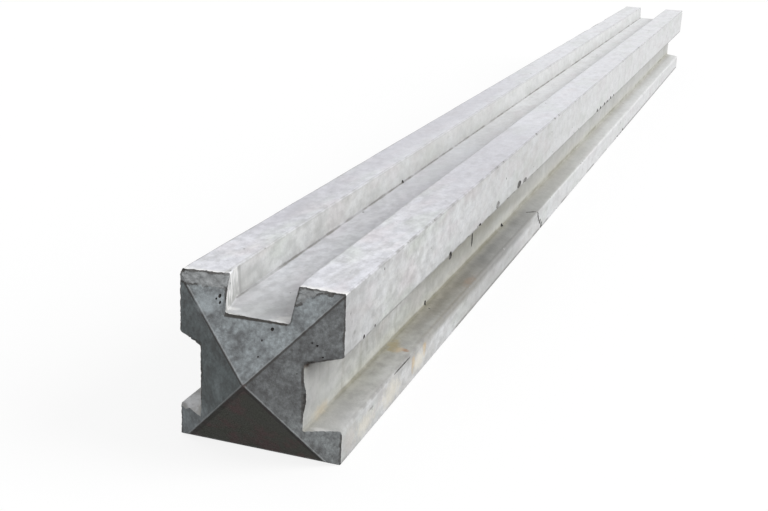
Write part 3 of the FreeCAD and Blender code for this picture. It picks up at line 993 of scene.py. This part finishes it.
def make_section(spacing):
    """The section's outline as a ring of edges, with points along its flats for the faces to wave."""
    corners = section_corners()
    places, radii = [], []
    past_fillet = 1.4
    for (x, z, radius), (next_x, next_z, next_radius) in zip(corners, corners[1:] + corners[:1]):
        start, end = Vector((x, z, 0)), Vector((next_x, next_z, 0))
        way = (end - start).normalized()
        places.append(start)
        radii.append(radius)
        first = start + way * radius * past_fillet
        last = end - way * next_radius * past_fillet
        count = max(1, round((last - first).length / spacing))
        for step in range(count + 1):
            places.append(first.lerp(last, step / count))
            radii.append(0.0)
    ring = [(point, (point + 1) % len(places)) for point in range(len(places))]
    section = new_piece("cast_post", places, ring)
    store(section, "corner_radius", "FLOAT", "value", radii)
    return section


def make_sweep_tree(finish):
    """Sweep the rounded section from the head to the foot, in shorter steps near the head.

    Its faces wave a little. Over the head band the top slot leans to the right and its bed rises, and the
    right slot's bed bulges.
    """
    nodes, given = new_geometry_tree("swept_casting", {
        "Head": TIP - 3 * MM, "Foot": FOOT, "Stations": 250, "Even Share": 0.2,
        "Wave Height": 0.5 * MM, "Wave Length": 90 * MM, "Head Fill": HEAD_FILL,
        "Wall Lean": 7 * MM, "Bed Rise": 1.8 * MM, "Bed Bulge": 1.7 * MM, "Finish": finish})
    ring = nodes.add("GeometryNodeMeshToCurve", {"Mesh": given["Geometry"]})
    radius = nodes.read("corner_radius", "FLOAT")
    rounded = nodes.add("GeometryNodeFilletCurve", {
        "Curve": ring, "Radius": radius, "Count": 3, "Limit Radius": True}, mode="POLY")

    line = nodes.add("GeometryNodeCurvePrimitiveLine", {"Start": (0, 0, 0), "End": (0, 0, 1)})
    path = nodes.add("GeometryNodeResampleCurve", {"Curve": line, "Count": given["Stations"]}, mode="COUNT")
    share = nodes.add("GeometryNodeSplineParameter", output="Factor")
    square = nodes.times(share, share)
    even = given["Even Share"]
    graded = nodes.plus(nodes.times(even, share), nodes.times(nodes.rest(even), square))
    length = nodes.minus(given["Foot"], given["Head"])
    station = nodes.plus(given["Head"], nodes.times(graded, length))
    path = nodes.put(path, nodes.joined(0.0, 0.0, station))
    inputs = {"Curve": path, "Profile Curve": rounded, "Fill Caps": True}
    swept = nodes.add("GeometryNodeCurveToMesh", inputs)

    place = nodes.add("GeometryNodeInputPosition")
    x, y, z = nodes.parts(place)
    swept = nodes.put(swept, nodes.joined(x, z, y))

    wave = nodes.minus(nodes.noise(place, given["Wave Length"], 3.0), 0.5)
    off_back = nodes.ramp(z, 0.0, 6 * MM)
    swell = nodes.times(wave, given["Wave Height"], off_back)
    normal = nodes.add("GeometryNodeInputNormal")
    swept = nodes.shift(swept, nodes.scaled(normal, nodes.times(swell, 2.0)))

    on_flange = nodes.ramp(x, -HALF_WIDTH, TOP_MOUTH_LEFT, kind="LINEAR")
    on_bed = nodes.ramp(x, TOP_BED_RIGHT, TOP_BED_LEFT, kind="LINEAR")
    past_band = nodes.ramp(y, BAND_END, TIP, kind="LINEAR")
    beside_slot = nodes.times(past_band, nodes.above(z, TOP_SLOT_BED - 1 * MM))
    fill = nodes.times(nodes.least(on_flange, on_bed), given["Head Fill"])
    lean = nodes.times(nodes.ramp(nodes.off(x, TOP_BED_RIGHT), 25 * MM, 3 * MM), given["Wall Lean"])
    across = nodes.times(nodes.most(fill, lean), beside_slot)
    low_in_slot = nodes.ramp(z, TOP_SLOT_BED + 14 * MM, TOP_SLOT_BED)
    within_slot = nodes.ramp(nodes.off(x, TOP_SLOT_MIDDLE), 32 * MM, 30 * MM)
    rise = nodes.times(low_in_slot, within_slot, given["Bed Rise"], beside_slot)

    on_right_bed = nodes.ramp(nodes.off(x, SLOT_BED), 2 * MM, 1 * MM)
    crown = nodes.ramp(nodes.off(z, SIDE_SLOT_RISE), 15 * MM, 3 * MM)
    in_band = nodes.ramp(y, BAND_END, TIP + 28 * MM)
    bulge = nodes.times(crown, in_band, on_right_bed, given["Bed Bulge"])
    swept = nodes.shift(swept, nodes.joined(nodes.plus(across, bulge), 0.0, rise))
    outward = nodes.add("GeometryNodeFlipFaces", {"Mesh": swept})
    return end_geometry_tree(nodes, outward, given["Finish"])


def make_end_plate(finish):
    """The mould's end plate: a block whose recess has the point's four facets, a little uneven.

    It also takes off the flakes that have spalled from the two upper flanges, and wears the rim.
    """
    reach = 60 * MM
    tip = Vector((POINT_SHIFT, TIP, POINT_RISE))
    slopes = [
        (FACET_RIGHT, FACET_UP), (-FACET_LEFT, FACET_UP),
        (-FACET_LEFT, -FACET_DOWN), (FACET_RIGHT, -FACET_DOWN),
    ]
    corners = [tip + Vector((across, 1, rise)) * reach for across, rise in slopes]
    faces = [(0, 1 + side, 1 + (side + 1) % 4) for side in range(4)]
    plate = new_piece("end_plate", [tip] + corners, faces=faces)

    nodes, given = new_geometry_tree("end_plate", {
        "Fineness": 7, "Unevenness": 0.12 * MM, "Dimple Size": 9 * MM, "Thickness": 120 * MM,
        "Flake Slant": 0.12, "Steepest Slant": 0.55, "Crumb Height": 0.5 * MM, "Rim Wear": 1.2 * MM,
        "Finish": finish})
    recess = nodes.add("GeometryNodeSubdivideMesh", {"Mesh": given["Geometry"], "Level": given["Fineness"]})
    place = nodes.add("GeometryNodeInputPosition")
    x, _, z = nodes.parts(place)
    dimple = nodes.minus(nodes.noise(place, given["Dimple Size"], 4.0), 0.5)
    back = nodes.times(dimple, nodes.times(given["Unevenness"], 2.0))

    # The left flange's flake goes deeper towards the slot
    past = nodes.most(spall_edge(nodes, place), 0.0)
    to_slot = nodes.times(nodes.ramp(x, -62 * MM, -26 * MM), nodes.below(x, 0.0))
    steeper = nodes.minus(given["Steepest Slant"], given["Flake Slant"])
    slant = nodes.plus(given["Flake Slant"], nodes.times(to_slot, steeper))
    back = nodes.plus(back, nodes.times(past, slant))
    crumbs = nodes.ramp(nodes.noise(place, 3 * MM, 3.0, 0.6), 0.3, 0.7, -1.0, 1.0)
    crumbs = nodes.times(crumbs, nodes.ramp(past, 0.0, 1.2 * MM), given["Crumb Height"])
    back = nodes.plus(back, crumbs)
    near_rim = nodes.ramp(depth_inside_outline(nodes, x, z), 1.8 * MM, 0.0)
    wear = nodes.times(near_rim, nodes.ramp(nodes.noise(place, 3 * MM, 3.0), 0.4, 0.7), given["Rim Wear"])
    back = nodes.plus(back, wear)
    recess = nodes.shift(recess, nodes.joined(0.0, back, 0.0))

    front = nodes.joined(0.0, nodes.times(given["Thickness"], -1.0), 0.0)
    body = nodes.add("GeometryNodeExtrudeMesh", {
        "Mesh": recess, "Offset": front, "Offset Scale": 1.0, "Individual": False})
    turned = nodes.add("GeometryNodeFlipFaces", {"Mesh": recess})
    join = nodes.tree.nodes.new("GeometryNodeJoinGeometry")
    nodes.link(body, join.inputs[0])
    nodes.link(turned, join.inputs[0])
    closed = nodes.add("GeometryNodeMergeByDistance", {"Geometry": join.outputs[0], "Distance": 0.001 * MM})
    grow(plate, end_geometry_tree(nodes, closed, given["Finish"]))
    return plate


# Wear on the lower left flange's front edge: place across, and how far it reaches down and back
LEDGE_WEAR = [(-66, 5.5, 2), (-57, 4.5, 3), (-51, 2.5, 3), (-39.7, 4.5, 4)]


def make_ledge_wear(finish):
    """The long wedge that wear has taken off the front edge of the lower left flange."""
    overshoot = 0.6
    clear = 10 * MM
    points, faces = [], []
    for across, down, back in LEDGE_WEAR:
        x = across * MM
        up_the_ledge = (HALF_WIDTH + x) / SLOT_DEPTH * (SLOT_MOUTH - SLOT_FLOOR) / 2
        edge = Vector((x, TIP + (POINT_SHIFT - x) / FACET_LEFT, MOUTH_LOW + up_the_ledge))
        on_facet = edge - Vector((0, 0, down * MM))
        on_ledge = edge + Vector((0, back * MM, 0))
        beyond = (on_facet - on_ledge) * overshoot
        points += [on_facet + beyond, on_ledge - beyond, edge + Vector((0, -clear, clear))]
    last = len(points) - 3
    for start in range(0, last, 3):
        for side in range(3):
            following = (side + 1) % 3
            faces.append((start + following, start + 3 + following, start + 3 + side, start + side))
    faces += [(2, 1, 0), (last, last + 1, last + 2)]
    wedge = new_piece("ledge_wear", points, faces=faces)
    wedge.data.materials.append(finish)
    return wedge


def make_back_bevel(finish):
    """The wedge that bevels the rim between the point's back facet and the flat back."""
    back_rim = RIM - BACK_LEAD
    foot_of_facet = back_rim - BACK_BEVEL / FACET_DOWN
    profile = [(RIM, 0), (foot_of_facet, BACK_BEVEL), (foot_of_facet, -BACK_BEVEL), (RIM, -BACK_BEVEL)]
    clear = 5 * MM
    side = HALF_WIDTH + clear
    points = [(x, y, z) for x in (-side, side) for y, z in profile]
    faces = [(3, 2, 1, 0), (4, 5, 6, 7)]
    for corner in range(4):
        following = (corner + 1) % 4
        faces.append((following, following + 4, corner + 4, corner))
    wedge = new_piece("back_bevel", points, faces=faces)
    wedge.data.materials.append(finish)
    return wedge


# Chips that the photograph shows: middle and half size along X, Y and Z in millimetres, and turn about Z
CHIPS = [
    ("upper right flange, flake", (63.2, -599, 86), (2, 7, 4), 0),
    ("upper right flange, far flake", (62.8, -479, 84), (2, 9, 3.5), 0),
    ("back edge, far chip", (62.5, 270, 2), (3, 7, 3.5), 0),
    ("back edge, second far chip", (62.5, 213, 1), (2, 8, 2.5), 0),
]

# Worn stretches of the upper right flange's lower edge: place along it and half length
WORN_LIP = [(-742, 12), (-712, 9), (-640, 14), (-560, 9), (-536, 14), (-448, 12), (-420, 8)]
CHIPS += [("upper right flange, worn lip", (62.8, y, 81.2), (1.6, half, 2.2), 0) for y, half in WORN_LIP]

# Pits and cracks, given in the same way
PITS = [
    ("left flange, tip of the corner", (-61.2, -1024.4, 127), (1.8, 2, 1.6), 0),
    ("left flange, far outer edge", (-62.5, 585, 128), (2, 45, 1.6), 0),
    ("left flange, far outer edge end", (-62.5, 715, 128), (2, 55, 1.6), 0),
    ("right slot, hollow in the bed", (39.2, -683, 53), (1.4, 5, 3), 0),
    ("right slot, scar down the bed", (39.5, -604, 48), (1.6, 2.6, 8), 0),
    ("upper right flange, near notch", (62.5, -768, 82), (2.6, 4.5, 3.4), 0),
    ("upper right flange, middle notch", (62.5, -668.5, 82), (2.6, 5.5, 3), 0),
    ("upper right flange, far notch", (62.8, -506, 86), (2.4, 9, 4), 0),
    ("lower right flange, gouge", (62.6, -891, 24.6), (1.2, 21, 0.7), 0),
    ("lower right flange, crack over the ledge", (56, -398, 27.2), (9, 1.4, 1.4), 54),
    ("lower right flange, crack at the edge", (62.5, -390, 23.5), (1.4, 1.8, 4.5), 0),
    ("lower right flange, crack down the face", (62.5, -385, 16.5), (1.4, 2.6, 4), 0),
    ("lower right flange, bend of the crack", (62.5, -376, 11), (1.4, 4, 3), 0),
    ("lower right flange, foot of the crack", (62.5, -367, 4), (1.4, 3, 4.5), 0),
    ("right slot, root", (39.3, -760, 31), (2.2, 2.6, 2.4), 0),
    ("right slot, farther root", (39.3, -477.4, 29.6), (2.4, 4, 2.4), 0),
    ("top slot, root", (-29, -631, 106), (1.8, 2.6, 1.8), 0),
    ("top slot, wall pit", (-24.4, -1018, 120), (1.8, 1.2, 1.2), 0),
    ("right face, pit by the edge", (62.6, -985, 83.4), (2.4, 1.7, 1.7), 0),
    ("right face, small pit", (62.8, -962, 84), (1.3, 1.5, 0.9), 0),
    ("right face, mark", (63.2, -1014, 111), (1, 0.8, 1.4), 0),
    ("top facet, pit by the slot", (-28, -1032, 115.4), (1.2, 2.4, 1.3), 0),
    ("top facet, second pit by the slot", (-26.5, -1034, 111.6), (0.9, 2.2, 1.2), 0),
    ("top facet, third pit by the slot", (-30, -1033, 113.6), (0.7, 1.8, 0.7), 0),
    ("top facet, large pit", (16.5, -1041.5, 101.4), (1.3, 2.6, 1.2), 0),
    ("top facet, pit", (11, -1046.3, 94.2), (0.7, 1.8, 0.7), 0),
    ("top facet, low pit", (11.2, -1052.7, 84.6), (0.6, 1.8, 0.6), 0),
    ("right facet, pit", (43.8, -1036.5, 94.7), (0.8, 1.8, 0.7), 0),
    ("right facet, second pit", (46.7, -1034.5, 92.2), (0.9, 1.9, 0.8), 0),
    ("right facet, low pit", (50, -1032, 83.5), (0.9, 1.8, 0.7), 0),
]

# A row of ticks in the far part of the upper right flange's lower edge: place along it and half height
FAR_TICKS = [(-20, 4.2), (8, 3.4), (40, 4), (66, 3), (98, 3.8), (127, 2.8)]
PITS += [("upper right flange, far tick", (62.7, y, 83), (1.6, 4.6, half), 0) for y, half in FAR_TICKS]


def make_chip_tree(finish):
    """Ragged lumps on given points, to break chips and pits out of the casting with."""
    nodes, given = new_geometry_tree("broken_chips", {
        "Raggedness": 0.8, "Lump Size": 5 * MM, "Facets": 4, "Finish": finish})
    reach = nodes.read("reach", "FLOAT_VECTOR")
    turn = nodes.read("turn", "FLOAT")
    lump = nodes.add("GeometryNodeMeshIcoSphere", {"Radius": 1.0, "Subdivisions": given["Facets"]})
    points = nodes.add("GeometryNodeMeshToPoints", {"Mesh": given["Geometry"]})
    turned = nodes.add("FunctionNodeEulerToRotation", {"Euler": nodes.joined(0.0, 0.0, turn)})
    lumps = nodes.add("GeometryNodeInstanceOnPoints", {
        "Points": points, "Instance": lump, "Rotation": turned, "Scale": reach})
    return displaced_lumps(nodes, given, lumps)


def displaced_lumps(nodes, given, lumps):
    """Push realized lumps in and out by noise, in proportion to how thin each one is."""
    real = nodes.add("GeometryNodeRealizeInstances", {"Geometry": lumps})
    place = nodes.add("GeometryNodeInputPosition")
    pull = nodes.noise(place, given["Lump Size"], 3.0, 0.6, output="Color")
    pull = nodes.vector("SUBTRACT", pull, (0.5, 0.5, 0.5))
    wide, long, high = nodes.parts(nodes.read("reach", "FLOAT_VECTOR"))
    thinnest = nodes.least(nodes.least(wide, long), high)
    span = nodes.times(thinnest, given["Raggedness"])
    ragged = nodes.shift(real, nodes.scaled(pull, span))
    return end_geometry_tree(nodes, ragged, given["Finish"])


def make_chips(name, given, finish):
    """A list of chips as one cutter."""
    chips = new_piece(name, [Vector(middle) * MM for _, middle, _, _ in given])
    sizes = [size * MM for _, _, reach, _ in given for size in reach]
    store(chips, "reach", "FLOAT_VECTOR", "vector", sizes)
    store(chips, "turn", "FLOAT", "value", [math.radians(turn) for _, _, _, turn in given])
    grow(chips, make_chip_tree(finish))
    return chips


def make_arris_wear(finish):
    """Small random nicks along the post's outer edges, as one cutter."""
    lines = [(x, z) for x, z, radius in section_corners() if radius != ROOT_RADIUS]
    inset = 0.4 * MM
    end_gap = 6 * MM
    stray = 4 * MM
    points, edges = [], []
    for x, z in lines:
        x -= math.copysign(inset, x)
        z -= inset if z > HEIGHT / 2 else -inset
        edges.append((len(points), len(points) + 1))
        points += [(x, RIM + end_gap, z), (x, FOOT - end_gap, z)]
    arrises = new_piece("arris_wear", points, edges)

    nodes, given = new_geometry_tree("arris_wear", {
        "Spacing": 9 * MM, "Share": 0.12, "Smallest": 0.6 * MM, "Largest": 2 * MM, "Raggedness": 0.9,
        "Lump Size": 4 * MM, "Seed": SEED, "Finish": finish})
    curves = nodes.add("GeometryNodeMeshToCurve", {"Mesh": given["Geometry"]})
    inputs = {"Curve": curves, "Length": given["Spacing"]}
    spots = nodes.add("GeometryNodeCurveToPoints", inputs, mode="LENGTH")
    kept = nodes.add("FunctionNodeRandomValue", {
        "Probability": given["Share"], "Seed": given["Seed"]}, 3, data_type="BOOLEAN")
    dice = nodes.add("FunctionNodeRandomValue", {2: 0.0, 3: 1.0, "Seed": 2 * SEED}, 1, data_type="FLOAT")
    rare = nodes.times(dice, dice, dice)
    span = nodes.minus(given["Largest"], given["Smallest"])
    size = nodes.plus(given["Smallest"], nodes.times(rare, span))
    reach = nodes.joined(size, nodes.times(size, 2.0), size)
    spots = nodes.add("GeometryNodeStoreNamedAttribute", {
        "Geometry": spots, "Name": "reach", "Value": reach}, data_type="FLOAT_VECTOR", domain="POINT")
    jitter = nodes.add("FunctionNodeRandomValue", {
        0: (0.0, -stray, 0.0), 1: (0.0, stray, 0.0), "Seed": 3 * SEED}, 0, data_type="FLOAT_VECTOR")
    spots = nodes.shift(spots, jitter)
    nick = nodes.add("GeometryNodeMeshIcoSphere", {"Radius": 1.0, "Subdivisions": 1})
    scale = nodes.read("reach", "FLOAT_VECTOR")
    nicks = nodes.add("GeometryNodeInstanceOnPoints", {
        "Points": spots, "Selection": kept, "Instance": nick, "Scale": scale})
    grow(arrises, displaced_lumps(nodes, given, nicks))
    return arrises


LARGEST_CRUMB = 100
SECTION_SPACING = 5 * MM
SHARP_ANGLE = 32


def clear_crumbs(piece):
    """Take away the loose crumbs of a few faces that the cutters leave beside a piece."""
    body = bmesh.new()
    body.from_mesh(piece.data)
    waiting = set(body.faces)
    while waiting:
        joined = [waiting.pop()]
        for face in joined:
            for edge in face.edges:
                beside = waiting.intersection(edge.link_faces)
                waiting -= beside
                joined.extend(beside)
        if len(joined) < LARGEST_CRUMB:
            bmesh.ops.delete(body, geom=joined, context="FACES")
    body.to_mesh(piece.data)
    body.free()


def make_cast_post():
    """The whole casting: swept, cut to its point, chipped and pitted."""
    fair_face = make_fair_face()
    end_face = make_end_face()
    broken = make_broken("broken_concrete", BROKEN_PALE, BROKEN_DARK)
    # The pits' finish is darkened with painted shade
    pitted = make_broken("shaded_pit_concrete", PIT_SHADE_PALE, PIT_SHADE_DARK)
    nicked = make_broken("nicked_concrete", NICK_PALE, NICK_DARK)
    post = make_section(SECTION_SPACING)
    grow(post, make_sweep_tree(fair_face))
    carve(post, make_end_plate(end_face))
    carve(post, make_back_bevel(end_face))
    carve(post, make_chips("chips", CHIPS, broken))
    carve(post, make_ledge_wear(fair_face))
    carve(post, make_chips("pits", PITS, pitted))
    carve(post, make_arris_wear(nicked))
    clear_crumbs(post)
    post.data.shade_smooth()
    post.data.set_sharp_from_angle(angle=math.radians(SHARP_ANGLE))
    return post


# Stage

FLOOR_REACH = 12.0
FLOOR_TO_LIGHT = 0.16
FLOOR_GLOW = 0.86
SKY_ZENITH = 0.76
SKY_HORIZON = 0.36
KEY_STRENGTH = 2.5
KEY_FROM = (0.78, 0.28, 0.52)
KEY_SPREAD = 45


def make_floor():
    """A pale floor: near white to the camera with a soft shadow, darker to the light it sends back."""
    side = FLOOR_REACH
    corners = [(-side, -side, 0), (side, -side, 0), (side, side, 0), (-side, side, 0)]
    floor = new_piece("floor", corners, faces=[(0, 1, 2, 3)])
    material = bpy.data.materials.new("pale_floor")
    material.use_nodes = True
    nodes = Nodes(material.node_tree)
    material.node_tree.nodes.remove(material.node_tree.nodes["Principled BSDF"])
    seen = nodes.add("ShaderNodeBsdfDiffuse", {"Color": grey(0.95)})
    glow = nodes.add("ShaderNodeEmission", {"Color": grey(1.0), "Strength": 1.0})
    to_camera = nodes.add("ShaderNodeMixShader", {0: FLOOR_GLOW, 1: seen, 2: glow})
    to_light = nodes.add("ShaderNodeBsdfDiffuse", {"Color": grey(FLOOR_TO_LIGHT)})
    either = nodes.add("ShaderNodeMixShader", {0: background_rays(nodes), 1: to_light, 2: to_camera})
    nodes.link(either, material.node_tree.nodes["Material Output"].inputs["Surface"])
    floor.data.materials.append(material)


def background_rays(nodes):
    """1 for rays that show the background: those of the camera, of gloss and through glass."""
    rays = nodes.tree.nodes.new("ShaderNodeLightPath").outputs
    shown = nodes.most(rays["Is Camera Ray"], rays["Is Glossy Ray"])
    return nodes.most(shown, rays["Is Transmission Ray"])


def make_light():
    """An overcast dome, dimmer to the horizon, and one broad soft lamp high behind the right side."""
    world = bpy.data.worlds.new("studio")
    bpy.context.scene.world = world
    world.use_nodes = True
    nodes = Nodes(world.node_tree)
    _, _, rise = nodes.parts(nodes.add("ShaderNodeTexCoord", output="Generated"))
    level = nodes.ramp(rise, 0.0, 0.9, SKY_HORIZON, SKY_ZENITH)
    strength = nodes.blend(background_rays(nodes), level, 1.0)
    backdrop = world.node_tree.nodes["Background"]
    backdrop.inputs["Color"].default_value = grey(1.0)
    nodes.link(strength, backdrop.inputs["Strength"])

    lamp = bpy.data.lights.new("key", "SUN")
    lamp.energy = KEY_STRENGTH
    lamp.angle = math.radians(KEY_SPREAD)
    key = bpy.data.objects.new("key", lamp)
    key.rotation_euler = Vector(KEY_FROM).to_track_quat("Z", "Y").to_euler()
    bpy.context.scene.collection.objects.link(key)


# Camera fitted to the post's edges in the photograph
CAMERA_AT = Vector((0.32897, -1.73799, 0.40137))
CAMERA_RIGHT = Vector((0.94222, 0.33236, 0.04191))
CAMERA_UP = Vector((-0.13939, 0.27522, 0.95122))
CAMERA_LENS = 56.33
CAMERA_SENSOR = 36


def make_camera():
    """The photograph's viewpoint."""
    camera = bpy.data.objects.new("camera", bpy.data.cameras.new("camera"))
    back = CAMERA_RIGHT.cross(CAMERA_UP)
    turn = Matrix((CAMERA_RIGHT, CAMERA_UP, back)).transposed()
    camera.matrix_world = Matrix.Translation(CAMERA_AT) @ turn.to_4x4()
    camera.data.sensor_fit = "HORIZONTAL"
    camera.data.sensor_width = CAMERA_SENSOR
    camera.data.lens = CAMERA_LENS
    camera.data.clip_start = 0.01
    bpy.context.scene.collection.objects.link(camera)
    bpy.context.scene.camera = camera


bpy.context.scene.view_settings.view_transform = "Standard"
make_camera()
make_light()
make_floor()

for make_group in (make_cement_clouds, make_sand_grain, make_pinholes, make_line_distance, make_stain):
    group = make_group()
    GROUPS[group.name] = group

cast_post = make_cast_post()
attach(cast_post, "root")
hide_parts(NODE)
